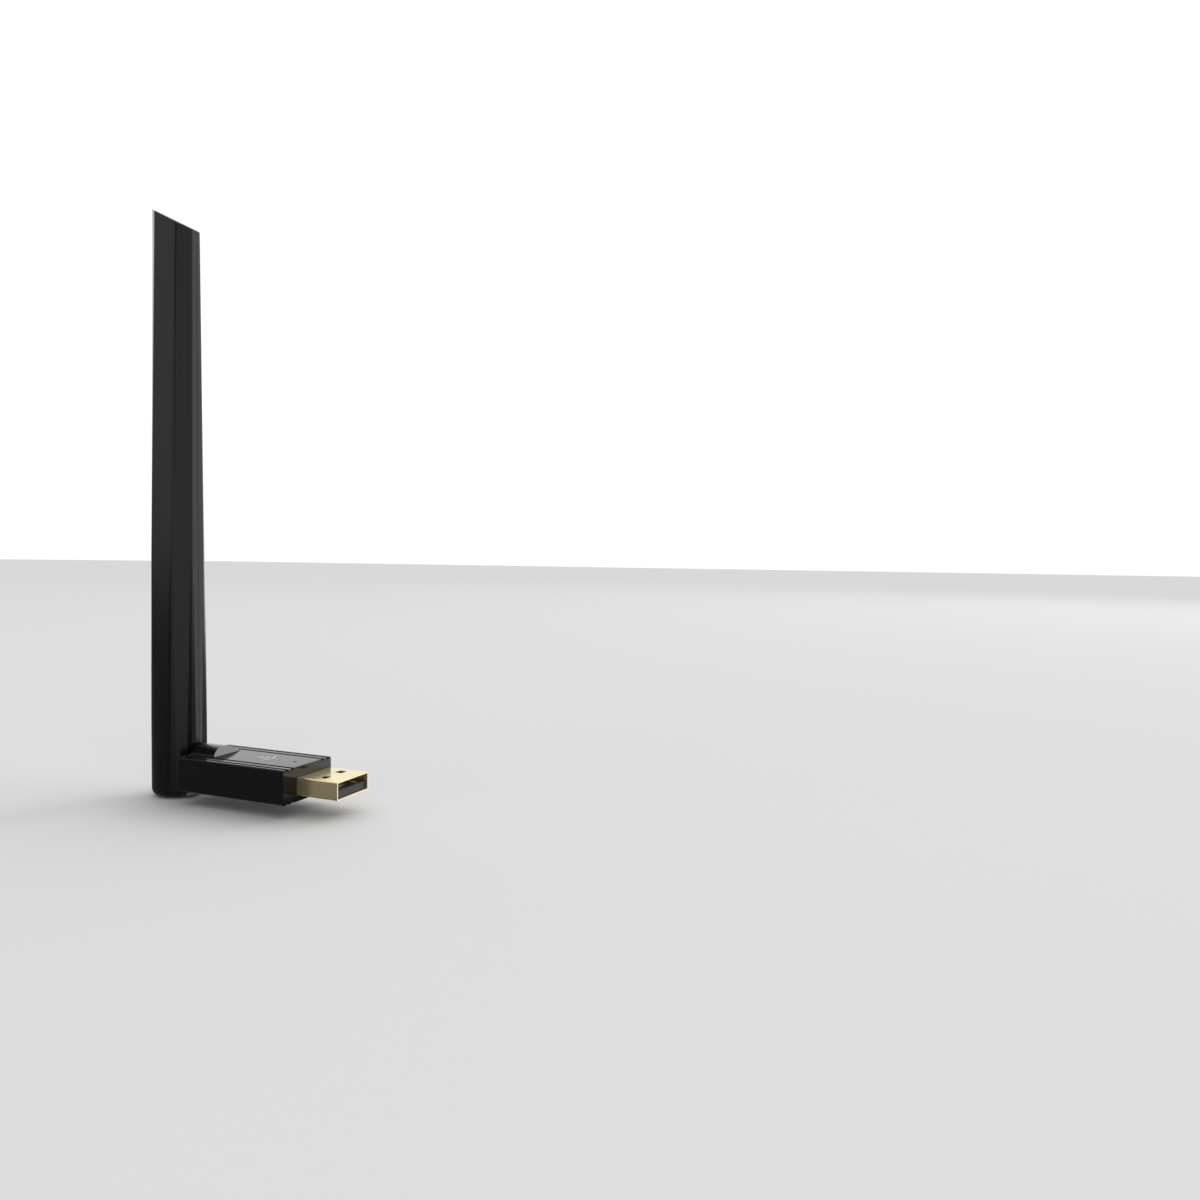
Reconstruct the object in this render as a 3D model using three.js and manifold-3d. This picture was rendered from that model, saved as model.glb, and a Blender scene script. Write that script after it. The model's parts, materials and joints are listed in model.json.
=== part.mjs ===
// USB wireless network adapter with a swivelling paddle antenna.
//
// Frame, in millimetres: the origin is the centre of the USB plug at the housing's end face,
// +X is the way the plug points, +Z is up along the antenna at rest. The housing lies on the
// -X side of the origin, and the antenna turns about an axis parallel to X behind it.
import * as THREE from 'three';
import { mergeVertices } from 'three/addons/utils/BufferGeometryUtils.js';
import Module from 'manifold-3d';

const wasm = await Module();
wasm.setup();

// ---------------------------------------------------------------- driving dimensions
const fit = 0.1;               // clearance between pieces that seat on each other
const running = 0.3;           // clearance between pieces that turn past each other

const plugWidth = 12.0;        // USB type A shell
const plugHeight = 4.5;
const plugExposed = 12.0;
const plugBuried = 5.0;        // length of shell held inside the housing
const plugSheet = 0.3;
const plugBend = 0.28;         // outer radius of the shell's long edges
const plugHole = 2.2;          // square latch windows
const plugHolePitch = 5.9;
const plugHoleSetback = 6.1;   // from the open end to the middle of the windows
const tongueTop = 0.0;         // contact face of the tongue
const tongueSetback = 0.6;     // tongue's front end behind the shell's
const contactWidth = 1.0;
const contactDepth = 0.35;     // depth of the slots they lie in
const contactPlaces = [        // across, and front end behind the tongue's
  { y: -3.5, setback: 1.1 },
  { y: -1.0, setback: 2.1 },
  { y: 1.0, setback: 2.1 },
  { y: 3.5, setback: 1.1 },
];

const bodyLength = 33.8;
const bodyWidth = 17.3;
const bodyHeight = 8.6;
const bodyWall = 1.3;
const endWall = 1.0;
const plugSideWall = 0.6;      // housing wall left beside the plug on the +Y side
const plugDrop = 0.6;          // plug centre below the housing's middle

const edgeSoft = 0.3;          // softened long edges of the housing
const endChamfer = 0.4;        // chamfer of its upright edges at the antenna end
const grooveWidth = 0.9;
const grooveDepth = 0.65;
const outerGrooveInset = 1.25;  // from the housing's side to the groove's middle
const innerGrooveInset = 3.2;

const barrelRadius = 6.2;      // round swivel housing at the antenna end
const barrelLength = 8.0;
const barrelWall = 1.2;
const barrelRun = 1.4;         // run of the steep face at the front of the barrel
const barrelEndWall = 1.6;

const stemDiameter = 5.6;
const stemBore = 2.4;
const stemInside = 5.0;        // shaft length behind the housing's end face
const neckDiameter = 8.7;
const neckLength = 2.0;
const spigotDiameter = 4.6;
const flangeDiameter = 6.2;
const flangeThickness = 1.0;
const clipDiameter = 8.6;
const clipThickness = 0.6;
const clipGrooveDepth = 0.6;
const washerDiameter = 8.8;
const washerSheet = 0.25;
const washerWave = 0.35;
const lugWidth = 1.4;          // stop lug on the shaft
const lugReach = 4.6;
const lugThickness = 0.8;
const ribBite = 0.2;           // how far a rib runs into the wall it stands on
const clipMouth = 0.84;        // open side of the clip, as a share of its bore
const spigotInside = 0.5;      // shaft between neck and flange reaches this far inside

const antennaLength = 150.0;   // foot to the middle of the slanted top
const antennaFoot = 7.9;       // foot below the swivel axis
const antennaHalfX = 6.9;
const footHalfY = 6.5;
const tipHalfY = 3.5;
const antennaWall = 1.2;
const tipSlope = 0.5;          // rise of the slanted top per unit of -X
const chamferX = 3.35;         // chamfer beside each broad face at the tip
const chamferShare = 0.65;     // share of the half thickness that the chamfer takes
const footRound = 2.2;
const footFlatX = 6.1;         // flat on the foot that faces the neck
const footWall = 1.4;          // wall behind that flat
const shoulderRise = 1.6;      // height of the slope above that flat
const shoulderOver = 0.25;     // the slope's upper end, outside the antenna's skin
const seam = 0.1;              // parting line between the two antenna shells
const roundUpTo = -4.0;        // the section is round up to here, above the swivel axis
const facetsFrom = 56.0;       // and has its full facets from here
const cornerSoft = 0.45;       // facet corners are softened over this length to each side
const cornerPull = 0.992;
const cornerSpread = 0.2;      // spread of a corner's points where the section is round
const tipBevel = 0.12;
const tipMargin = 3.0;         // straight stretch left below the slanted top

const boardThickness = 1.0;
const boardLength = 21.0;
const boardSideGap = 0.3;
const restWidth = 1.2;         // ribs that the board rests on
const restSetback = 1.6;
const coaxDiameter = 1.2;
const coverRibWidth = 0.8;     // ribs under the cover, along its sides
const coverRibDepth = 0.6;
const coverRibFront = 9.0;     // from the plug end to the ribs' two ends
const coverRibBack = 22.0;
const coverLip = 0.3;          // cover's reach over the housing's end wall

const stripWidth = 9.0;        // antenna board inside the paddle
const stripThickness = 0.8;
const stripLow = 13.0;
const stripHeadroom = 17.1;    // from its upper end to the middle of the slanted top
const traceThickness = 0.15;
const traceWidth = 5.0;
const traceMargin = 4.0;
const feedGap = 2.0;           // between the two dipole arms
const foamWidth = 5.2;
const foamLength = 9.0;
const foamSetback = 3.0;

// ---------------------------------------------------------------- derived places
const bodyY = plugWidth / 2 + plugSideWall - bodyWidth / 2;  // housing's middle, across
const bodyZ = plugDrop;
const halfW = bodyWidth / 2;
const halfH = bodyHeight / 2;
const bodyTop = bodyZ + halfH;
const bodyFloor = bodyZ - halfH + bodyWall;
const endX = -bodyLength;                                    // antenna end of the housing
const panelHalf = halfW - innerGrooveInset;
const neckEndX = endX - running - neckLength;
const antennaX = neckEndX - fit - footFlatX;                 // antenna's own axis
const shoulderLow = neckDiameter / 2 + running;
const shoulderHigh = shoulderLow + shoulderRise;
const barrelBore = barrelRadius - barrelWall;
const antennaTop = antennaLength - antennaFoot;
const stripTop = antennaTop - stripHeadroom;
const stripLength = stripTop - stripLow;
const wallInsideX = endX + barrelEndWall;
const washerX = wallInsideX + fit;
const clipX = washerX + washerSheet + washerWave + fit;       // face of the retaining clip
const lugX = endX + stemInside - lugThickness;
const boardFront = -(plugBuried + running);
const boardTop = 0;
const boardHalfW = halfW - bodyWall - boardSideGap;

// ---------------------------------------------------------------- materials
function material(color, roughness, metalness = 0) {
  return new THREE.MeshStandardMaterial({ color, roughness, metalness });
}
const glossBlack = () => material(0x0d0d0f, 0.18);
const satinBlack = () => material(0x121214, 0.38);
const goldPlate = () => material(0xd8b45a, 0.22, 1);
const greyPlastic = () => material(0x6d6f72, 0.5);
const boardGreen = () => material(0x0f3d24, 0.45);
const chipBlack = () => material(0x1b1b1d, 0.6);
const tinPlate = () => material(0xb9bcc0, 0.35, 1);
const springSteel = () => material(0x9a9da1, 0.3, 1);
const copper = () => material(0xb87333, 0.35, 1);
const ceramicTan = () => material(0xb08b62, 0.55);
const cableGrey = () => material(0x3a3b3e, 0.5);
const foamBlack = () => material(0x232325, 0.95);
const clearPlastic = () => material(0xdfe8ee, 0.12);

// ---------------------------------------------------------------- solids
function toSolid(geometry) {
  const bare = geometry.clone();
  bare.deleteAttribute('normal');
  bare.deleteAttribute('uv');
  const merged = mergeVertices(bare, 1e-5);
  return new wasm.Manifold(new wasm.Mesh({
    numProp: 3,
    vertProperties: new Float32Array(merged.attributes.position.array),
    triVerts: new Uint32Array(merged.index.array),
  }));
}

function toGeometry(solid) {
  const mesh = solid.getMesh();
  const geometry = new THREE.BufferGeometry();
  geometry.setAttribute('position', new THREE.BufferAttribute(mesh.vertProperties, 3));
  geometry.setIndex(new THREE.BufferAttribute(mesh.triVerts, 1));
  geometry.computeVertexNormals();
  return geometry;
}

// Box from its lowest to its highest corner.
function boxGeometry([x0, y0, z0], [x1, y1, z1]) {
  const geometry = new THREE.BoxGeometry(x1 - x0, y1 - y0, z1 - z0);
  return geometry.translate((x0 + x1) / 2, (y0 + y1) / 2, (z0 + z1) / 2);
}
const box = (low, high) => toSolid(boxGeometry(low, high));

// Cylinder along X between two X places.
function rodX(diameter, x0, x1, y = bodyY, z = bodyZ, sides = 48) {
  const geometry = new THREE.CylinderGeometry(diameter / 2, diameter / 2, x1 - x0, sides);
  geometry.rotateZ(Math.PI / 2);
  return toSolid(geometry.translate((x0 + x1) / 2, y, z));
}

// Upright cylinder between two heights.
function rodZ(diameter, x, y, z0, z1, sides = 24) {
  const geometry = new THREE.CylinderGeometry(diameter / 2, diameter / 2, z1 - z0, sides);
  geometry.rotateX(Math.PI / 2);
  return toSolid(geometry.translate(x, y, (z0 + z1) / 2));
}

// Outline in the YZ plane, extruded along X from x0 to x1.
function extrudeX(points, x0, x1) {
  const shape = new THREE.Shape(points.map(([y, z]) => new THREE.Vector2(y, z)));
  const geometry = new THREE.ExtrudeGeometry(shape, { depth: x1 - x0, bevelEnabled: false });
  const turn = new THREE.Matrix4().set(0, 0, 1, x0, 1, 0, 0, 0, 0, 1, 0, 0, 0, 0, 0, 1);
  return toSolid(geometry.applyMatrix4(turn));
}

// Outline in the XZ plane, extruded along Y from y0 to y1.
function extrudeY(points, y0, y1) {
  const shape = new THREE.Shape(points.map(([x, z]) => new THREE.Vector2(x, z)));
  const geometry = new THREE.ExtrudeGeometry(shape, { depth: y1 - y0, bevelEnabled: false });
  geometry.rotateX(Math.PI / 2);
  return toSolid(geometry.translate(0, y1, 0));
}

// Outline in the XY plane, extruded upwards from z0 to z1.
function extrudeZ(points, z0, z1) {
  const shape = new THREE.Shape(points.map(([x, y]) => new THREE.Vector2(x, y)));
  const geometry = new THREE.ExtrudeGeometry(shape, { depth: z1 - z0, bevelEnabled: false });
  return toSolid(geometry.translate(0, 0, z0));
}

const group = new THREE.Group();

function addMesh(name, geometry, finish) {
  const mesh = new THREE.Mesh(geometry, finish);
  mesh.name = name;
  group.add(mesh);
}
const addSolid = (name, solid, finish) => addMesh(name, toGeometry(solid), finish);

// ---------------------------------------------------------------- housing
// Points of a half-round groove cut into a level edge, going from side `from` to the other.
function groovePoints(middle, level, down, from) {
  const steps = 6;
  const points = [];
  for (let i = 0; i <= steps; i += 1) {
    const angle = Math.PI * i / steps;
    const y = middle - from * Math.cos(angle) * grooveWidth / 2;
    points.push([y, level + down * Math.sin(angle) * grooveDepth]);
  }
  return points;
}

// Housing section: a rectangle with softened corners and two grooves beside every long edge.
function housingSection() {
  const insets = [outerGrooveInset, innerGrooveInset];
  const low = bodyZ - halfH;
  const left = bodyY - halfW;
  const right = bodyY + halfW;
  const points = [[left, low + edgeSoft], [left + edgeSoft, low]];
  insets.forEach((inset) => points.push(...groovePoints(left + inset, low, 1, 1)));
  insets.slice().reverse()
    .forEach((inset) => points.push(...groovePoints(right - inset, low, 1, 1)));
  points.push([right - edgeSoft, low], [right, low + edgeSoft], [right, bodyTop - edgeSoft]);
  points.push([right - edgeSoft, bodyTop]);
  insets.forEach((inset) => points.push(...groovePoints(right - inset, bodyTop, -1, -1)));
  insets.slice().reverse()
    .forEach((inset) => points.push(...groovePoints(left + inset, bodyTop, -1, -1)));
  points.push([left + edgeSoft, bodyTop], [left, bodyTop - edgeSoft]);
  return points;
}

// Barrel that bulges above and below the housing, with a steep flat face towards the plug.
function barrelSolid() {
  const bulge = barrelRadius - halfH;
  const front = endX + barrelLength;
  const round = rodX(barrelRadius * 2, endX, front, bodyY, bodyZ, 72);
  const side = [
    [endX - 1, -barrelRadius - 1], [front - barrelRun, -barrelRadius - 1],
    [front - barrelRun, -halfH - bulge], [front, -halfH],
    [front, halfH], [front - barrelRun, halfH + bulge],
    [front - barrelRun, barrelRadius + 1], [endX - 1, barrelRadius + 1],
  ];
  const trim = extrudeY(side.map(([x, z]) => [x, z + bodyZ]), bodyY - halfW, bodyY + halfW);
  return round.intersect(trim);
}

// Outline seen from above, with its two corners at the antenna end cut off.
function planTrim() {
  const left = bodyY - halfW;
  const right = bodyY + halfW;
  return extrudeZ([
    [endX, left + endChamfer], [endX + endChamfer, left], [1, left],
    [1, right], [endX + endChamfer, right], [endX, right - endChamfer],
  ], bodyZ - barrelRadius - 1, bodyZ + barrelRadius + 1);
}

function housingShell() {
  const outer = extrudeX(housingSection(), endX, 0).add(barrelSolid()).intersect(planTrim());
  const inside = box(
    [endX + barrelLength - barrelEndWall, bodyY - halfW + bodyWall, bodyFloor],
    [-endWall, bodyY + halfW - bodyWall, bodyTop - bodyWall],
  );
  const bore = rodX(barrelBore * 2, wallInsideX, endX + barrelLength - barrelRun + ribBite);
  const shaftHole = rodX(stemDiameter + 2 * running, endX - 1, wallInsideX + 1);
  const plugSlot = box(
    [-plugBuried - fit, -plugWidth / 2 - fit, -plugHeight / 2 - fit],
    [1, plugWidth / 2 + fit, plugHeight / 2 + fit],
  );
  return outer.subtract(inside).subtract(bore).subtract(shaftHole).subtract(plugSlot);
}

// Space that the lift-off cover takes, grown by `grow` on every side.
function coverSpace(grow) {
  return box(
    [endX - 2, bodyY - panelHalf - grow, bodyTop - bodyWall - grow],
    [-endWall + coverLip + grow, bodyY + panelHalf + grow, bodyTop + barrelRadius],
  );
}

// Rib that keeps the stop lug within a quarter turn to either side.
function stopRib() {
  const ring = rodX((barrelBore + ribBite) * 2, lugX, lugX + lugThickness)
    .subtract(rodX(stemDiameter + 4 * running, lugX - 1, lugX + lugThickness + 1));
  const below = box(
    [lugX - 1, bodyY - barrelRadius, bodyZ - barrelRadius],
    [lugX + lugThickness + 1, bodyY + barrelRadius, bodyZ - lugWidth / 2 - running],
  );
  return ring.intersect(below);
}

// Ribs on the floor that the circuit board rests on.
function boardRests() {
  const z1 = boardTop - boardThickness - fit;
  const at = [boardFront - restSetback, boardFront - boardLength + restSetback];
  return at.map((x) => box(
    [x - restWidth / 2, bodyY - boardHalfW + 1, bodyFloor - ribBite],
    [x + restWidth / 2, bodyY + boardHalfW - 1, z1],
  ));
}

function addHousing() {
  const shell = housingShell();
  let base = shell.subtract(coverSpace(fit)).add(stopRib());
  boardRests().forEach((rest) => { base = base.add(rest); });
  addSolid('main_housing', base, glossBlack());

  let cover = shell.intersect(coverSpace(0)).subtract(lightPipeHole());
  const ribTop = bodyTop - bodyWall;
  [-1, 1].forEach((side) => {
    const y = bodyY + side * (panelHalf - coverRibWidth);
    cover = cover.add(box(
      [-coverRibBack, y - coverRibWidth / 2, ribTop - coverRibDepth],
      [-coverRibFront, y + coverRibWidth / 2, ribTop + ribBite],
    ));
  });
  addSolid('top_cover', cover, glossBlack());
}

// ---------------------------------------------------------------- USB plug
function addPlug() {
  const w = plugWidth / 2;
  const h = plugHeight / 2;
  const bend = plugBend;
  const cut = bend * (1 - Math.SQRT1_2);         // the bend's middle, in from the corner
  const outline = [
    [-w + bend, -h], [w - bend, -h], [w - cut, -h + cut], [w, -h + bend],
    [w, h - bend], [w - cut, h - cut], [w - bend, h], [-w + bend, h],
    [-w + cut, h - cut], [-w, h - bend], [-w, -h + bend], [-w + cut, -h + cut],
  ];
  let shell = extrudeX(outline, -plugBuried, plugExposed).subtract(box(
    [-plugBuried - 1, -w + plugSheet, -h + plugSheet],
    [plugExposed + 1, w - plugSheet, h - plugSheet],
  ));
  const holeX = plugExposed - plugHoleSetback;
  [-1, 1].forEach((side) => {
    const y = side * plugHolePitch / 2;
    shell = shell.subtract(box(
      [holeX - plugHole / 2, y - plugHole / 2, -h - 1],
      [holeX + plugHole / 2, y + plugHole / 2, h + 1],
    ));
  });
  addSolid('usb_plug_shell', shell, goldPlate());

  const tongueBottom = -h + plugSheet + fit;
  const tongueFront = plugExposed - tongueSetback;
  let tongue = box(
    [-plugBuried, -w + plugSheet + fit, tongueBottom],
    [tongueFront, w - plugSheet - fit, tongueTop],
  );
  const contacts = contactPlaces.map(({ y, setback }) => ({ y, front: tongueFront - setback }));
  contacts.forEach(({ y, front }) => {
    tongue = tongue.subtract(box(
      [-plugBuried - 1, y - contactWidth / 2 - fit, tongueTop - contactDepth],
      [front + fit, y + contactWidth / 2 + fit, tongueTop + 1],
    ));
  });
  addSolid('usb_tongue', tongue, greyPlastic());
  contacts.forEach(({ y, front }, i) => {
    const strip = boxGeometry(
      [-plugBuried, y - contactWidth / 2, tongueTop - contactDepth + fit],
      [front, y + contactWidth / 2, tongueTop],
    );
    addMesh(`usb_contact_${i + 1}`, strip, goldPlate());
  });
}

// ---------------------------------------------------------------- circuit board
const boardBack = boardFront - boardLength;
const ledSize = [1.6, 1.0, 0.6];
const ledX = boardFront - 1.4;
const receptacleX = boardBack + 5.0;

// Parts on the board's upper face: setback from its plug end, offset across, and size.
const boardParts = [
  { name: 'wifi_chip', back: 6.9, across: 0.4, size: [5.2, 5.2, 0.9], finish: chipBlack },
  { name: 'memory_chip', back: 7.1, across: -4.9, size: [5.0, 3.2, 1.2], finish: chipBlack },
  { name: 'crystal', back: 7.3, across: 5.2, size: [3.2, 2.5, 0.8], finish: tinPlate },
  { name: 'regulator', back: 2.4, across: -5.0, size: [2.9, 1.6, 1.1], finish: chipBlack },
  { name: 'power_inductor', back: 2.6, across: 4.8, size: [3.0, 3.0, 1.3], finish: chipBlack },
  { name: 'rf_switch_chip', back: 14.0, across: -4.4, size: [2.4, 2.4, 0.7], finish: chipBlack },
];
const capacitors = { count: 4, back: 10.4, pitch: 1.7, across: 5.3, size: [1.0, 1.6, 0.8] };
const can = { back: 14.0, across: -4.4, size: [5.6, 5.0, 1.5], sheet: 0.2 };

// Block standing on the board: its middle, its size, drawn in by `inset` all round but below.
function onBoard(x, y, [dx, dy, dz], inset = 0) {
  const z = boardTop + fit;
  const hx = dx / 2 - inset;
  const hy = dy / 2 - inset;
  return boxGeometry([x - hx, y - hy, z - inset], [x + hx, y + hy, z + dz - inset]);
}

function addBoard() {
  const board = boxGeometry(
    [boardBack, bodyY - boardHalfW, boardTop - boardThickness],
    [boardFront, bodyY + boardHalfW, boardTop],
  );
  addMesh('main_pcb', board, boardGreen());
  addMesh('status_led', onBoard(ledX, bodyY, ledSize), clearPlastic());
  boardParts.forEach(({ name, back, across, size, finish }) => {
    addMesh(name, onBoard(boardFront - back, bodyY + across, size), finish());
  });
  for (let i = 0; i < capacitors.count; i += 1) {
    const x = boardFront - capacitors.back - i * capacitors.pitch;
    addMesh(`decoupling_capacitor_${i + 1}`,
      onBoard(x, bodyY + capacitors.across, capacitors.size), ceramicTan());
  }
  const canX = boardFront - can.back;
  const canY = bodyY + can.across;
  const cover = toSolid(onBoard(canX, canY, can.size))
    .subtract(toSolid(onBoard(canX, canY, can.size, can.sheet)));
  addSolid('shield_can', cover, tinPlate());
}

// Bent light guide: from the lamp up and over the plug shell to the cover's surface.
const pipeX = -4.0;
const pipeDiameter = 0.7;
const pipeRecess = 0.3;          // light guide's end below the cover's surface
const pipeLevel = plugHeight / 2 + 2 * fit;
const pipeThick = 0.8;

function lightPipeHole() {
  return rodZ(pipeDiameter + 2 * fit, pipeX, bodyY, pipeLevel, bodyTop + 1);
}

function addLightPipe() {
  const half = pipeDiameter / 2;
  const bar = box(
    [ledX - half, bodyY - half, pipeLevel],
    [pipeX + half, bodyY + half, pipeLevel + pipeThick],
  );
  const foot = box(
    [ledX - half, bodyY - half, boardTop + ledSize[2] + 2 * fit],
    [ledX + half, bodyY + half, pipeLevel + pipeThick],
  );
  const pin = rodZ(pipeDiameter, pipeX, bodyY, pipeLevel, bodyTop - pipeRecess);
  addSolid('light_pipe', bar.add(foot).add(pin), clearPlastic());
}

// ---------------------------------------------------------------- antenna lead
// Round lead along a list of points, as an eight-sided tube.
function lead(points, steps) {
  const curve = new THREE.CatmullRomCurve3(points.map((p) => new THREE.Vector3(...p)));
  const shape = new THREE.Shape();
  for (let i = 0; i < 8; i += 1) {
    const angle = Math.PI * (2 * i + 1) / 8;
    const x = Math.cos(angle) * coaxDiameter / 2;
    const y = Math.sin(angle) * coaxDiameter / 2;
    if (i === 0) shape.moveTo(x, y);
    else shape.lineTo(x, y);
  }
  shape.closePath();
  return new THREE.ExtrudeGeometry(shape, { steps, extrudePath: curve, bevelEnabled: false });
}

const leadMeetX = endX - 1.0;    // the two runs of the lead meet inside the hollow shaft
const plugBarrel = 1.6;          // crimp at the back of the coax plug
const receptacle = { side: 2.6, base: 0.3, ring: 2.0, height: 0.6 };
const coaxPlug = { cap: 2.8, half: 0.75, crimpHalf: 0.8, crimpDrop: 0.05 };
const receptacleTop = boardTop + fit + receptacle.height;
const coaxLevel = receptacleTop + fit + coaxPlug.half;

function addLead() {
  const { side, base, ring } = receptacle;
  const seat = toSolid(onBoard(receptacleX, bodyY, [side, side, base]));
  const post = rodZ(ring, receptacleX, bodyY, boardTop + 2 * fit, receptacleTop);
  addSolid('coax_receptacle', seat.add(post), goldPlate());

  const capLow = receptacleTop + fit;
  const cap = rodZ(coaxPlug.cap, receptacleX, bodyY, capLow, coaxLevel + coaxPlug.half);
  const crimpX = receptacleX - coaxPlug.cap / 2 - plugBarrel;
  const crimp = box(
    [crimpX, bodyY - coaxPlug.crimpHalf, capLow],
    [receptacleX, bodyY + coaxPlug.crimpHalf, coaxLevel + coaxPlug.half - coaxPlug.crimpDrop],
  );
  addSolid('coax_plug', cap.add(crimp), goldPlate());

  const start = crimpX - fit;
  const mouth = endX + stemInside;
  const ease = 0.5;                // straight stretch at the ends of the sloping run
  addMesh('coax_lead_housing', lead([
    [start, bodyY, coaxLevel],
    [start - ease, bodyY, coaxLevel],
    [(start + mouth) / 2, bodyY, (coaxLevel + bodyZ) / 2],
    [mouth + ease, bodyY, bodyZ],
    [mouth - 2 * ease, bodyY, bodyZ],
    [leadMeetX + running / 2, bodyY, bodyZ],
  ], 16), cableGrey());

  const upX = antennaX - 1.0;      // the lead rises here, behind the antenna board
  const bend = 3.2;
  const early = 0.3;               // share of the bend at its middle point
  const drift = 0.7;               // sideways run per point while it passes the board's end
  const behindY = bodyY - stripThickness / 2 - traceThickness - running - coaxDiameter / 2;
  const clear = 3.0;
  const feed = stripLow + stripLength * 0.46;
  addMesh('coax_lead_antenna', lead([
    [leadMeetX - running / 2, bodyY, bodyZ],
    [upX + bend + 1.4, bodyY, bodyZ],
    [upX + bend, bodyY, bodyZ],
    [upX + bend * early, bodyY, bodyZ + bend * early],
    [upX, bodyY - fit, bodyZ + bend],
    [upX, bodyY - fit - drift, bodyZ + bend + clear],
    [upX, behindY, bodyZ + stripLow - clear],
    [upX, behindY, bodyZ + stripLow + 2 * clear],
    [upX, behindY, bodyZ + feed * 0.6],
    [upX, behindY, bodyZ + feed],
  ], 40), cableGrey());
}

// ---------------------------------------------------------------- swivel
function addSwivel() {
  const inner = endX + stemInside;
  const footWallX = antennaX + footFlatX - footWall;
  let stem = rodX(stemDiameter, endX - running, inner)
    .add(rodX(neckDiameter, neckEndX, endX - running))
    .add(rodX(spigotDiameter, footWallX - spigotInside, neckEndX + fit))
    .add(rodX(flangeDiameter, footWallX - fit - flangeThickness, footWallX - fit));
  stem = stem.add(box(
    [lugX, bodyY - lugWidth / 2, bodyZ],
    [lugX + lugThickness, bodyY + lugWidth / 2, bodyZ + lugReach],
  ));
  const groove = rodX(clipDiameter + 1, clipX - fit, clipX + clipThickness + fit)
    .subtract(rodX(stemDiameter - 2 * clipGrooveDepth, clipX - 1, clipX + clipThickness + 1));
  stem = stem.subtract(groove);
  stem = stem.subtract(rodX(stemBore, antennaX - 5, inner + 1, bodyY, bodyZ, 24));
  addSolid('swivel_stem', stem, satinBlack());

  // Retaining clip: a ring with an open side, pushed into the shaft's groove.
  const clipBore = stemDiameter - 2 * clipGrooveDepth + 2 * fit;
  const clip = rodX(clipDiameter, clipX, clipX + clipThickness)
    .subtract(rodX(clipBore, clipX - 1, clipX + clipThickness + 1))
    .subtract(box(
      [clipX - 1, bodyY - clipBore * clipMouth / 2, bodyZ - clipDiameter],
      [clipX + clipThickness + 1, bodyY + clipBore * clipMouth / 2, bodyZ],
    ));
  addSolid('retaining_clip', clip, springSteel());

  // Wave washer: a flat ring whose sheet rises and falls three times around.
  const washerBore = stemDiameter + 2 * fit;
  const ring = new THREE.Shape();
  ring.absarc(0, 0, washerDiameter / 2, 0, Math.PI * 2);
  const hole = new THREE.Path();
  hole.absarc(0, 0, washerBore / 2, 0, Math.PI * 2, true);
  ring.holes.push(hole);
  const sheet = new THREE.ExtrudeGeometry(ring, {
    depth: washerSheet, bevelEnabled: false, curveSegments: 36,
  });
  const place = sheet.attributes.position;
  for (let i = 0; i < place.count; i += 1) {
    const angle = Math.atan2(place.getY(i), place.getX(i));
    place.setZ(i, place.getZ(i) + washerWave * (1 + Math.cos(3 * angle)) / 2);
  }
  sheet.rotateY(Math.PI / 2);
  sheet.translate(washerX, bodyY, bodyZ);
  addSolid('wave_washer', toSolid(sheet), springSteel());
}

// ---------------------------------------------------------------- antenna
// Corners of the eight-sided paddle section, in order around it.
function paddleCorners(halfX, halfY) {
  const cut = halfY * chamferShare;
  const quarter = [[halfX, halfY - cut], [halfX - chamferX, halfY]];
  return [
    ...quarter,
    ...quarter.slice().reverse().map(([x, y]) => [-x, y]),
    ...quarter.map(([x, y]) => [-x, -y]),
    ...quarter.slice().reverse().map(([x, y]) => [x, -y]),
  ];
}

// Ring of points that is round for blend 0 and the eight-sided paddle for blend 1. Every corner
// gives three points, which soften it, and every side one in its middle.
function ringPoints(halfX, halfY, blend) {
  const corners = paddleCorners(halfX, halfY);
  const points = [];
  const put = (x, y, angle) => points.push([
    halfX * Math.cos(angle) * (1 - blend) + x * blend,
    halfY * Math.sin(angle) * (1 - blend) + y * blend,
  ]);
  corners.forEach(([x, y], i) => {
    const [bx, by] = corners[(i + corners.length - 1) % corners.length];
    const [ax, ay] = corners[(i + 1) % corners.length];
    const back = cornerSoft / Math.hypot(bx - x, by - y);
    const ahead = cornerSoft / Math.hypot(ax - x, ay - y);
    const angle = Math.atan2(y / halfY, x / halfX);
    put(x + (bx - x) * back, y + (by - y) * back, angle - cornerSpread);
    put(x * cornerPull, y * cornerPull, angle);
    put(x + (ax - x) * ahead, y + (ay - y) * ahead, angle + cornerSpread);
    put((x + ax) / 2, (y + ay) / 2, Math.atan2((y + ay) / halfY, (x + ax) / halfX));
  });
  return points;
}

// Closed loft through rings that share one point count, in the antenna's own axes.
function loft(rings) {
  const levels = rings.length - 1;
  const outline = ringPoints(antennaHalfX, footHalfY, 0)
    .map(([x, y]) => new THREE.Vector2(x, y));
  const geometry = new THREE.ExtrudeGeometry(new THREE.Shape(outline), {
    depth: levels, steps: levels, bevelEnabled: false,
  });
  const place = geometry.attributes.position;
  for (let i = 0; i < place.count; i += 1) {
    const level = Math.round(place.getZ(i));
    const x = place.getX(i);
    const y = place.getY(i);
    let nearest = 0;
    let best = Infinity;
    outline.forEach((point, k) => {
      const distance = Math.hypot(point.x - x, point.y - y);
      if (distance < best) {
        best = distance;
        nearest = k;
      }
    });
    const [px, py, pz] = rings[level][nearest];
    place.setXYZ(i, px, py, pz);
  }
  return toSolid(geometry);
}

function halfYAt(z) {
  const share = Math.min(1, Math.max(0, z / antennaTop));
  return footHalfY + (tipHalfY - footHalfY) * share;
}

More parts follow.
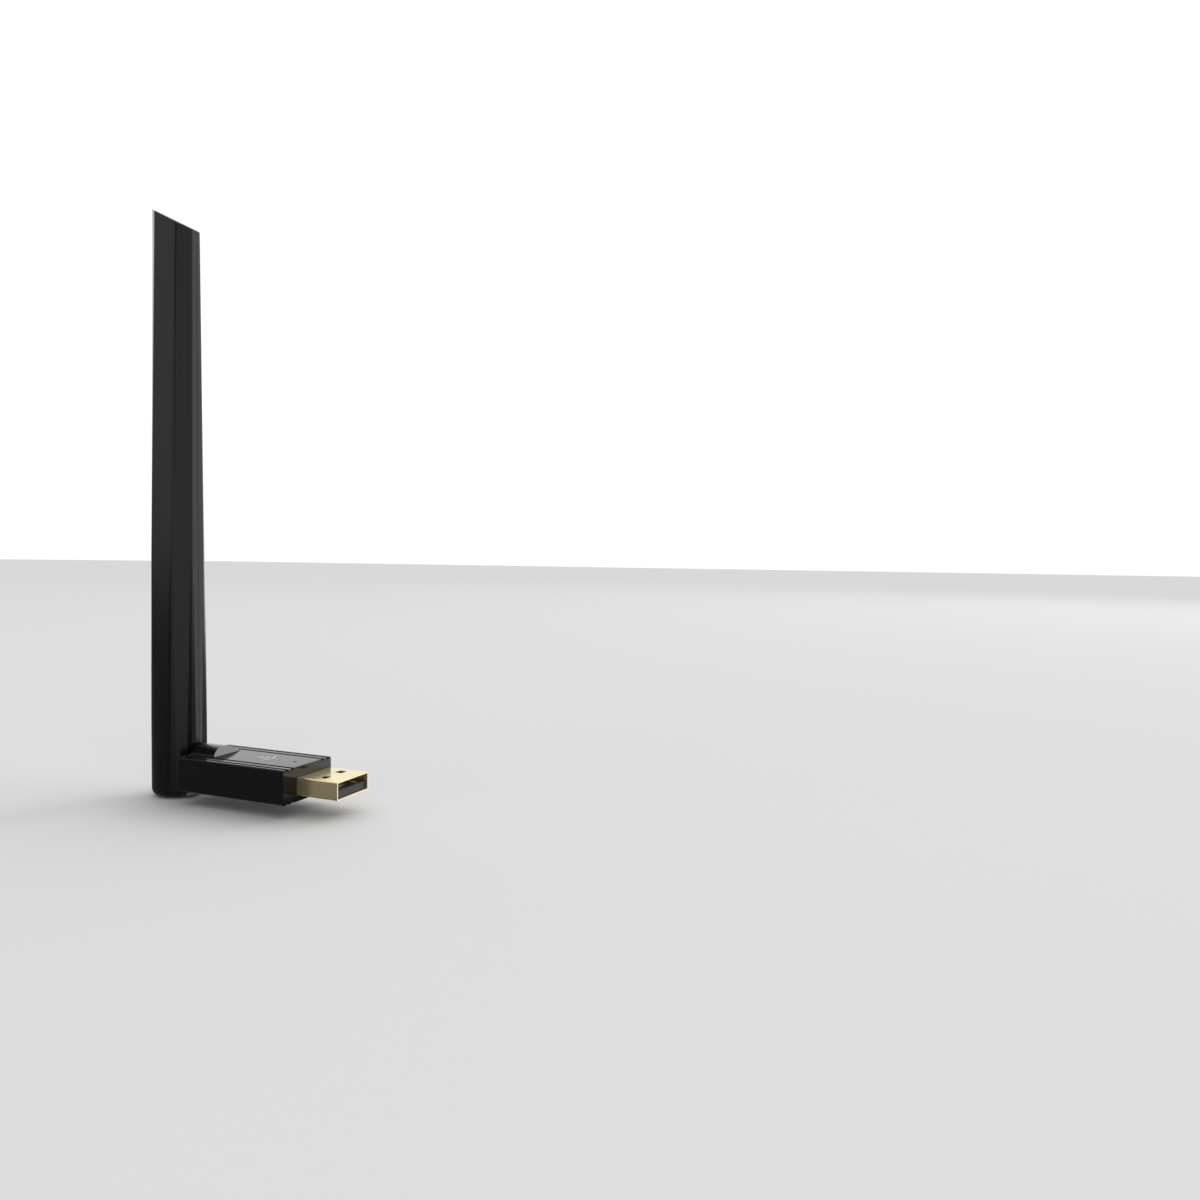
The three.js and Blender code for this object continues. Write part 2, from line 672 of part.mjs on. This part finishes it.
// Paddle solid, drawn in by `inset` all round: the outer skin or the hollow inside it.
function paddle(inset) {
  const low = -antennaFoot + inset;
  const round = Math.max(footRound - inset, 0.6);
  const ring = (z, drawnIn) => ringPoints(
    antennaHalfX - inset - drawnIn,
    halfYAt(z) - inset - drawnIn,
    Math.min(1, Math.max(0, (z - roundUpTo) / (facetsFrom - roundUpTo))),
  );
  const rings = [];
  const level = (z, drawnIn = 0) => rings.push(ring(z, drawnIn).map(([x, y]) => [x, y, z]));
  const slanted = (below, drawnIn) => rings.push(ring(antennaTop, drawnIn)
    .map(([x, y]) => [x, y, antennaTop - below - tipSlope * x]));

  const roundSteps = 4;
  for (let i = 0; i <= roundSteps; i += 1) {
    const angle = Math.PI / 2 * i / roundSteps;
    level(low + round * (1 - Math.cos(angle)), round * (1 - Math.sin(angle)));
  }
  const blendSteps = 4;
  for (let i = 0; i <= blendSteps; i += 1) {
    level(roundUpTo + (facetsFrom - roundUpTo) * i / blendSteps);
  }
  level(antennaTop - antennaHalfX * tipSlope - tipMargin);
  const drop = inset * Math.hypot(1, tipSlope);
  slanted(drop + tipBevel, 0);
  slanted(drop, tipBevel);
  return loft(rings);
}

// Space in front of the foot that leaves its flat face and the shoulder above it.
function footClear(setback) {
  const x = footFlatX - setback;
  const out = antennaHalfX + 5;
  return extrudeY([
    [x, -antennaFoot - 5], [out, -antennaFoot - 5], [out, shoulderHigh + setback],
    [antennaHalfX + shoulderOver - setback, shoulderHigh + setback], [x, shoulderLow + setback],
  ], -footHalfY - 5, footHalfY + 5);
}

function addAntenna() {
  const skin = paddle(0).subtract(footClear(0));
  const pocket = rodX(flangeDiameter + 2 * running, 0, footFlatX - footWall, 0, 0);
  const hollow = paddle(antennaWall).subtract(footClear(footWall)).add(pocket);
  const bore = rodX(spigotDiameter + 2 * fit, 0, antennaHalfX + 1, 0, 0);
  const shell = skin.subtract(hollow).subtract(bore);
  const reach = antennaLength + 20;
  [['front', -1], ['back', 1]].forEach(([side, sign]) => {
    const y0 = sign < 0 ? -reach : seam / 2;
    const half = shell.intersect(box([-reach, y0, -reach], [reach, y0 + reach - seam / 2, reach]));
    addSolid(`antenna_shell_${side}`, half.translate([antennaX, bodyY, bodyZ]), satinBlack());
  });

  const board = boxGeometry(
    [antennaX - stripWidth / 2, bodyY - stripThickness / 2, bodyZ + stripLow],
    [antennaX + stripWidth / 2, bodyY + stripThickness / 2, bodyZ + stripLow + stripLength],
  );
  addMesh('antenna_board', board, boardGreen());

  const traceFront = bodyY - stripThickness / 2 - traceThickness - fit / 5;
  const middle = stripLow + stripLength / 2;
  const trace = (z0, z1) => boxGeometry(
    [antennaX - traceWidth / 2, traceFront, bodyZ + z0],
    [antennaX + traceWidth / 2, traceFront + traceThickness, bodyZ + z1],
  );
  addMesh('dipole_arm_lower', trace(stripLow + traceMargin, middle - feedGap / 2), copper());
  addMesh('dipole_arm_upper', trace(middle + feedGap / 2, stripTop - traceMargin), copper());

  [['lower', stripLow + foamSetback], ['upper', stripTop - foamSetback - foamLength]]
    .forEach(([name, z]) => {
      const y0 = bodyY + stripThickness / 2 + fit;
      const high = z + foamLength;
      const depth = halfYAt(high) - antennaWall - stripThickness / 2 - 2 * running;
      addMesh(`foam_pad_${name}`, boxGeometry(
        [antennaX - foamWidth / 2, y0, bodyZ + z],
        [antennaX + foamWidth / 2, y0 + depth, bodyZ + high],
      ), foamBlack());
    });
}

addHousing();
addPlug();
addBoard();
addLightPipe();
addLead();
addSwivel();
addAntenna();

export default group;
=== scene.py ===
"""USB wireless adapter with a swivelling paddle antenna: its looks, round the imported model.

Everything is in metres in the part's own frame: the origin is the centre of the plug at the
housing's end face, +X is the way the plug points and +Z is up along the antenna.
"""
import json
import math

import bmesh
import bpy
from mathutils import Matrix, Vector


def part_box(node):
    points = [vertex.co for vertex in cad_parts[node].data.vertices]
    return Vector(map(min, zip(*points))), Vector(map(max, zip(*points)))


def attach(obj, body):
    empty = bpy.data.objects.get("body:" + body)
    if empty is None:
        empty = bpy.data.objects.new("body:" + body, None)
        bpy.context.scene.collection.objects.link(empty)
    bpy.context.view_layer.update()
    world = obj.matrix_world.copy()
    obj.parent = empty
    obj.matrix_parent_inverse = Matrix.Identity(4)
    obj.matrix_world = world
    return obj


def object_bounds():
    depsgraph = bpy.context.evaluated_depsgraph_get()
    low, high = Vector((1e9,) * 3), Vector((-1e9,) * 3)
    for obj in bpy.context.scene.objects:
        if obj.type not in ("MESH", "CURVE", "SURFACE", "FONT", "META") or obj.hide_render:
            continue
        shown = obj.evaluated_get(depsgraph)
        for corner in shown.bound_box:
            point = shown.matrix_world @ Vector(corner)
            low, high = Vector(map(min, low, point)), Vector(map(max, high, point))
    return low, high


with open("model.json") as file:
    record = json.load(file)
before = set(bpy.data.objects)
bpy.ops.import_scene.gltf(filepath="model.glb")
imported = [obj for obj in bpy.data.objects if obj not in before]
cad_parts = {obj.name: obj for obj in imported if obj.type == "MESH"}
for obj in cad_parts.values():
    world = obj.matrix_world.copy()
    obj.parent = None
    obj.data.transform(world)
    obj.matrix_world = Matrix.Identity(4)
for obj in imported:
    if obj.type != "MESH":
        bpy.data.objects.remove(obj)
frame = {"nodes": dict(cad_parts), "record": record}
cad_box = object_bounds()
NODES = frame["nodes"]
MM = 0.001
WHITE = (1, 1, 1, 1)

# ---------------------------------------------------------------- camera
CAMERA_AT = (143.1 * MM, -171.1 * MM, 55.55 * MM)
CAMERA_AZIMUTH = 21.3         # degrees
CAMERA_PITCH = 2.48
CAMERA_ROLL = 0.8
SENSOR = 36.0                 # millimetres
LENS = 25.56
CLIP = (0.005, 100)           # metres


def add_camera():
    """The photo's camera, solved for the free-standing adapter."""
    a, e, r = (math.radians(v) for v in (CAMERA_AZIMUTH, CAMERA_PITCH, CAMERA_ROLL))
    back = Vector((math.sin(a) * math.cos(e), -math.cos(a) * math.cos(e), math.sin(e)))
    level = Vector((math.cos(a), math.sin(a), 0))
    rise = back.cross(level)
    right = level * math.cos(r) + rise * math.sin(r)
    up = rise * math.cos(r) - level * math.sin(r)
    data = bpy.data.cameras.new("camera")
    data.sensor_width = SENSOR
    data.lens = LENS
    data.clip_start, data.clip_end = CLIP
    camera = bpy.data.objects.new("camera", data)
    turn = Matrix((right, up, back)).transposed().to_4x4()
    camera.matrix_world = Matrix.Translation(CAMERA_AT) @ turn
    bpy.context.scene.collection.objects.link(camera)
    bpy.context.scene.camera = camera
    bpy.context.scene.view_settings.view_transform = "Standard"


# ---------------------------------------------------------------- stage and light
# Radiance of the studio's parts.
IN_FRONT = 0.13
BEHIND = 1.04
BELOW = 0.115
OVERHEAD = 0.3                # added
LEFT_STRIP = 0.42             # added
FRONT_STRIP = 0.45            # added
RIGHT_SIDE = 1.3

# Where those parts lie: a direction, and the cosines to it where a part starts and is full.
UP = (0, 0, 1)
BEHIND_LOBE = ((0, 1, 0), -0.1, 0.25)
OVERHEAD_LOBE = (UP, 0.55, 0.95)
RIGHT_SIDE_LOBE = ((0.72, 0.69, 0), 0.88, 0.98)
LEFT_STRIP_LOBE = ((-0.74, -0.67, 0), 0.883, 0.975)
FRONT_STRIP_LOBE = ((0.65, -0.76, 0), 0.84, 0.96)
LEFT_STRIP_RISE = (UP, -0.05, 0.05)
FRONT_STRIP_RISE = (UP, -0.26, -0.14)
ABOVE_LOBE = (UP, -0.14, 0.0)

SOFTBOX_TOWARDS = (0.40, 0.71, 0.58)
SOFTBOX_DISTANCE = 2.0        # metres
SOFTBOX_SIZE = 0.57           # metres
SOFTBOX_RADIANCE = 3.5

FLOOR_HALF = 12.0             # metres
FLOOR_TONE = 0.86
MATT = 0.9                    # roughness of floor and painted shade card
# Painted shade: a dark card, seen only in gloss, stands in for the shaded floor reflected in
# the plug's end face.
SHADE_CARD_NEAR = 0.3 * MM
SHADE_CARD_FAR = 26 * MM
SHADE_CARD_SIDE = 20 * MM
SHADE_CARD_RISE = 0.4 * MM          # above the floor
SHADE_CARD_TONE = 0.01
SHADE_CARD_FULL_X = 8 * MM          # painted shade at full strength up to here along X, nothing left at its far end
SHADE_CARD_FADE_Y = (18 * MM, 10 * MM)   # painted shade gone there, full strength there


def smooth_step(tree, value, low, high):
    """0 at low, 1 at high, with a smooth rise between them."""
    node = tree.nodes.new("ShaderNodeMapRange")
    node.interpolation_type = "SMOOTHSTEP"
    node.inputs["From Min"].default_value = low
    node.inputs["From Max"].default_value = high
    tree.links.new(value, node.inputs["Value"])
    return node.outputs["Result"]


def facing(tree, direction, towards):
    """Cosine of the angle between direction and a fixed one."""
    node = tree.nodes.new("ShaderNodeVectorMath")
    node.operation = "DOT_PRODUCT"
    tree.links.new(direction, node.inputs[0])
    node.inputs[1].default_value = Vector(towards).normalized()
    return node.outputs["Value"]


def combine(tree, operation, a, b):
    """Maths on two values, each a number or a socket."""
    node = tree.nodes.new("ShaderNodeMath")
    node.operation = operation
    for socket, value in zip(node.inputs, (a, b)):
        if isinstance(value, (int, float)):
            socket.default_value = value
        else:
            tree.links.new(value, socket)
    return node.outputs["Value"]


def mix_values(tree, low, high, share):
    """low where share is 0, high where it is 1."""
    rise = combine(tree, "SUBTRACT", high, low)
    return combine(tree, "ADD", low, combine(tree, "MULTIPLY", rise, share))


def level_direction(tree, direction):
    """Direction with its rise taken out, at unit length: the azimuth of the light."""
    flat = tree.nodes.new("ShaderNodeVectorMath")
    flat.operation = "MULTIPLY"
    tree.links.new(direction, flat.inputs[0])
    flat.inputs[1].default_value = (1, 1, 0)
    unit = tree.nodes.new("ShaderNodeVectorMath")
    unit.operation = "NORMALIZE"
    tree.links.new(flat.outputs["Vector"], unit.inputs[0])
    return unit.outputs["Vector"]


def add_lobe(tree, total, share, radiance):
    """total, plus a share of the radiance."""
    return combine(tree, "ADD", total, combine(tree, "MULTIPLY", share, radiance))


def add_world():
    """Studio room: white behind the object and to its right, bright above it, dark below,
    and dim in front with two tall strips."""
    world = bpy.data.worlds.new("studio")
    bpy.context.scene.world = world
    world.use_nodes = True
    tree = world.node_tree
    direction = tree.nodes.new("ShaderNodeTexCoord").outputs["Generated"]
    around = level_direction(tree, direction)

    def lobe(source, towards, start, full):
        return smooth_step(tree, facing(tree, source, towards), start, full)

    behind = lobe(direction, *BEHIND_LOBE)
    overhead = lobe(direction, *OVERHEAD_LOBE)
    right_side = lobe(around, *RIGHT_SIDE_LOBE)
    left_strip = lobe(around, *LEFT_STRIP_LOBE)
    front_strip = lobe(around, *FRONT_STRIP_LOBE)
    raised = lobe(direction, *LEFT_STRIP_RISE)
    off_floor = lobe(direction, *FRONT_STRIP_RISE)
    above = lobe(direction, *ABOVE_LOBE)
    left_strip = combine(tree, "MULTIPLY", left_strip, raised)
    front_strip = combine(tree, "MULTIPLY", front_strip, off_floor)
    room = mix_values(tree, BELOW, mix_values(tree, IN_FRONT, BEHIND, behind), above)
    room = add_lobe(tree, room, left_strip, LEFT_STRIP)
    room = add_lobe(tree, room, front_strip, FRONT_STRIP)
    room = add_lobe(tree, room, overhead, OVERHEAD)
    strength = mix_values(tree, room, RIGHT_SIDE, right_side)
    shader = tree.nodes["Background"]
    shader.inputs["Color"].default_value = WHITE
    tree.links.new(strength, shader.inputs["Strength"])


def add_softbox():
    """Square lamp behind the object and above it."""
    data = bpy.data.lights.new("softbox_back", "AREA")
    data.shape = "SQUARE"
    data.size = SOFTBOX_SIZE
    data.energy = SOFTBOX_RADIANCE * math.pi * SOFTBOX_SIZE * SOFTBOX_SIZE
    light = bpy.data.objects.new("softbox_back", data)
    direction = Vector(SOFTBOX_TOWARDS).normalized()
    light.rotation_mode = "QUATERNION"
    light.rotation_quaternion = direction.to_track_quat("Z", "Y")
    light.location = direction * SOFTBOX_DISTANCE
    bpy.context.scene.collection.objects.link(light)


def flat_sheet(name, x, y, z):
    """Level rectangle between two X and two Y places, with a matt paint of its own."""
    corners = [(x[0], y[0], z), (x[1], y[0], z), (x[1], y[1], z), (x[0], y[1], z)]
    mesh = bpy.data.meshes.new(name)
    mesh.from_pydata(corners, [], [(0, 1, 2, 3)])
    sheet = bpy.data.objects.new(name, mesh)
    bpy.context.scene.collection.objects.link(sheet)
    material = bpy.data.materials.new(name + "_paint")
    material.use_nodes = True
    mesh.materials.append(material)
    return sheet, material.node_tree


def add_painted_shade_card():
    """Painted shade: a dark card on the floor under the plug, seen only in the gloss of the
    end face. It stands in for the shaded floor reflected there, and fades out like a contact
    shadow.
    """
    shade_card, tree = flat_sheet("painted_shade_card", (SHADE_CARD_NEAR, SHADE_CARD_FAR), (-SHADE_CARD_SIDE, SHADE_CARD_SIDE),
                            cad_box[0].z + SHADE_CARD_RISE)
    place = tree.nodes.new("ShaderNodeTexCoord").outputs["Object"]
    split = tree.nodes.new("ShaderNodeSeparateXYZ")
    tree.links.new(place, split.inputs["Vector"])
    along = smooth_step(tree, split.outputs["X"], SHADE_CARD_FAR, SHADE_CARD_FULL_X)
    across = smooth_step(tree, split.outputs["Y"], *SHADE_CARD_FADE_Y)
    shader = tree.nodes["Principled BSDF"]
    shader.inputs["Base Color"].default_value = (SHADE_CARD_TONE, SHADE_CARD_TONE, SHADE_CARD_TONE, 1)
    shader.inputs["Roughness"].default_value = MATT
    tree.links.new(combine(tree, "MULTIPLY", along, across), shader.inputs["Alpha"])
    shade_card.visible_camera = False
    shade_card.visible_diffuse = False
    shade_card.visible_shadow = False
    shade_card.visible_transmission = False


def add_stage():
    """Plain pale floor, left out of reflections."""
    reach = (-FLOOR_HALF, FLOOR_HALF)
    floor, tree = flat_sheet("floor", reach, reach, cad_box[0].z)
    shader = tree.nodes["Principled BSDF"]
    shader.inputs["Base Color"].default_value = (FLOOR_TONE, FLOOR_TONE, FLOOR_TONE, 1)
    shader.inputs["Roughness"].default_value = MATT
    shader.inputs["Specular IOR Level"].default_value = 0.0
    floor.visible_glossy = False


# ---------------------------------------------------------------- materials
SMOOTHEST = 0.02              # least roughness
COLOR_DETAIL = 5.0            # octaves of the noise for colour and roughness
GRAIN_DETAIL = 3.0            # octaves of the noise for the bump
GRAIN_SCALE = 6               # times as fine as the colour noise
GRAIN_DEPTH = 0.02 * MM


def surface(name, color, roughness, metallic=0.0, vary=0.06, scale=900.0, bump=0.0,
            rough_vary=0.03):
    """Procedural surface: fine colour and roughness variation, and a fine bump if asked."""
    material = bpy.data.materials.new(name)
    material.use_nodes = True
    tree = material.node_tree
    shader = tree.nodes["Principled BSDF"]
    shader.inputs["Metallic"].default_value = metallic
    place = tree.nodes.new("ShaderNodeTexCoord").outputs["Object"]
    noise = tree.nodes.new("ShaderNodeTexNoise")
    noise.inputs["Scale"].default_value = scale
    noise.inputs["Detail"].default_value = COLOR_DETAIL
    tree.links.new(place, noise.inputs["Vector"])
    ramp = tree.nodes.new("ShaderNodeValToRGB")
    for stop, factor in zip(ramp.color_ramp.elements, (1 - vary, 1 + vary)):
        stop.color = (*(min(1.0, c * factor) for c in color), 1)
    tree.links.new(noise.outputs["Fac"], ramp.inputs["Fac"])
    tree.links.new(ramp.outputs["Color"], shader.inputs["Base Color"])
    rough = tree.nodes.new("ShaderNodeMapRange")
    rough.inputs["To Min"].default_value = max(SMOOTHEST, roughness - rough_vary)
    rough.inputs["To Max"].default_value = roughness + rough_vary
    tree.links.new(noise.outputs["Fac"], rough.inputs["Value"])
    tree.links.new(rough.outputs["Result"], shader.inputs["Roughness"])
    if bump:
        grain = tree.nodes.new("ShaderNodeTexNoise")
        grain.inputs["Scale"].default_value = scale * GRAIN_SCALE
        grain.inputs["Detail"].default_value = GRAIN_DETAIL
        tree.links.new(place, grain.inputs["Vector"])
        relief = tree.nodes.new("ShaderNodeBump")
        relief.inputs["Strength"].default_value = bump
        relief.inputs["Distance"].default_value = GRAIN_DEPTH
        tree.links.new(grain.outputs["Fac"], relief.inputs["Height"])
        tree.links.new(relief.outputs["Normal"], shader.inputs["Normal"])
    return material


# Material slot of the record: its surface.
SURFACES = {
    "housing_gloss": dict(name="housing_gloss", color=(0.004, 0.004, 0.0045), roughness=0.12,
                          rough_vary=0.02),
    "antenna_plastic": dict(name="antenna_satin", color=(0.005, 0.005, 0.0055), roughness=0.2,
                            bump=0.05),
    "plug_gold": dict(name="plug_gold", color=(0.92, 0.78, 0.45), roughness=0.22, metallic=0.8,
                      vary=0.02, rough_vary=0.015, scale=300.0),
    "contact_gold": dict(name="contact_gold", color=(0.9, 0.7, 0.36), roughness=0.22,
                         metallic=1.0),
    "tongue_plastic": dict(name="tongue_grey", color=(0.035, 0.036, 0.038), roughness=0.45,
                           bump=0.1),
    "board": dict(name="solder_mask", color=(0.006, 0.06, 0.022), roughness=0.35, vary=0.2),
    "chip": dict(name="chip_resin", color=(0.012, 0.012, 0.013), roughness=0.6, bump=0.3),
    "tin": dict(name="tin_plate", color=(0.55, 0.56, 0.58), roughness=0.3, metallic=1.0),
    "clear_plastic": dict(name="smoked_plastic", color=(0.03, 0.032, 0.035), roughness=0.12),
    "capacitor": dict(name="ceramic_tan", color=(0.38, 0.24, 0.13), roughness=0.5, vary=0.12),
    "lead_jacket": dict(name="lead_jacket", color=(0.045, 0.046, 0.05), roughness=0.45),
    "spring_steel": dict(name="spring_steel", color=(0.42, 0.43, 0.45), roughness=0.3,
                         metallic=1.0),
    "copper_foil": dict(name="copper_foil", color=(0.75, 0.36, 0.2), roughness=0.3,
                        metallic=1.0),
    "foam": dict(name="foam", color=(0.02, 0.02, 0.021), roughness=0.95, vary=0.3, bump=0.6),
}


def dress_nodes():
    """Give every carried-over node the surface of its material slot."""
    made = {slot: surface(**look) for slot, look in SURFACES.items()}
    for part in frame["record"]["subparts"]:
        data = NODES[part["node"]].data
        data.materials.clear()
        data.materials.append(made[part["material_slot"]])


BEVEL_SEGMENTS = 2
BEVEL_FROM = 30               # degrees


def soften(piece, width):
    """Small round on the sharp edges of a carried-over node."""
    bevel = piece.modifiers.new("edge", "BEVEL")
    bevel.width = width
    bevel.segments = BEVEL_SEGMENTS
    bevel.limit_method = "ANGLE"
    bevel.angle_limit = math.radians(BEVEL_FROM)
    bevel.harden_normals = True
    smooth_by_angle(piece, BEVEL_FROM)


def smooth_by_angle(piece, angle):
    """Smooth shading, broken at edges sharper than the angle in degrees."""
    mesh = piece.data
    mesh.polygons.foreach_set("use_smooth", [True] * len(mesh.polygons))
    mesh.set_sharp_from_angle(angle=math.radians(angle))


EDGE_ROUNDS = {
    "main_housing": 0.12 * MM,
    "top_cover": 0.12 * MM,
    "usb_plug_shell": 0.06 * MM,
}
SMOOTHED = {                  # degrees
    "antenna_shell_front": 25,
    "antenna_shell_back": 25,
    "swivel_stem": 40,
    "coax_lead_housing": 40,
    "coax_lead_antenna": 40,
}


# ---------------------------------------------------------------- printed mark
MARK_X = -14.7 * MM           # middle of the dot
MARK_GAP = 0.01 * MM          # above the cover
MARK_THICKNESS = 0.03 * MM
MARK_LINE = 0.7 * MM
MARK_DOT = 0.7 * MM           # radius
MARK_ARCS = (1.8 * MM, 3.3 * MM)   # radii
MARK_SPREAD = math.radians(48)
MARK_STEPS = 24


def add_band(shape, inner, outer):
    """Arc of a flat ring, to both sides of +X."""
    rows = []
    for i in range(MARK_STEPS + 1):
        angle = -MARK_SPREAD + 2 * MARK_SPREAD * i / MARK_STEPS
        across = Vector((math.cos(angle), math.sin(angle), 0))
        rows.append([shape.verts.new(across * r) for r in (inner, outer)])
    for a, b in zip(rows, rows[1:]):
        shape.faces.new((a[0], a[1], b[1], b[0]))


def add_mark():
    """Generic printed sign on the cover: a dot with two radio arcs on its plug side."""
    low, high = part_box("main_housing")
    place = Vector((MARK_X, (low.y + high.y) / 2, high.z + MARK_GAP))
    shape = bmesh.new()
    bmesh.ops.create_circle(shape, cap_ends=True, segments=MARK_STEPS, radius=MARK_DOT)
    for reach in MARK_ARCS:
        add_band(shape, reach - MARK_LINE / 2, reach + MARK_LINE / 2)
    bmesh.ops.recalc_face_normals(shape, faces=shape.faces)
    for face in shape.faces:
        if face.normal.z < 0:
            face.normal_flip()
    raised = bmesh.ops.extrude_face_region(shape, geom=shape.faces[:])
    verts = [v for v in raised["geom"] if isinstance(v, bmesh.types.BMVert)]
    bmesh.ops.translate(shape, verts=verts, vec=(0, 0, MARK_THICKNESS))
    bmesh.ops.recalc_face_normals(shape, faces=shape.faces)
    mesh = bpy.data.meshes.new("radio_mark")
    shape.to_mesh(mesh)
    shape.free()
    mesh.transform(Matrix.Translation(place))
    mesh.materials.append(surface("mark_ink", (0.6, 0.6, 0.6), 0.5, vary=0.03))
    mark = bpy.data.objects.new("radio_mark", mesh)
    bpy.context.scene.collection.objects.link(mark)
    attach(mark, "housing")


add_camera()
add_world()
add_softbox()
add_stage()
# painted shade under the plug, seen only in the end face's gloss
add_painted_shade_card()
dress_nodes()
for name, width in EDGE_ROUNDS.items():
    soften(NODES[name], width)
for name, angle in SMOOTHED.items():
    smooth_by_angle(NODES[name], angle)
add_mark()
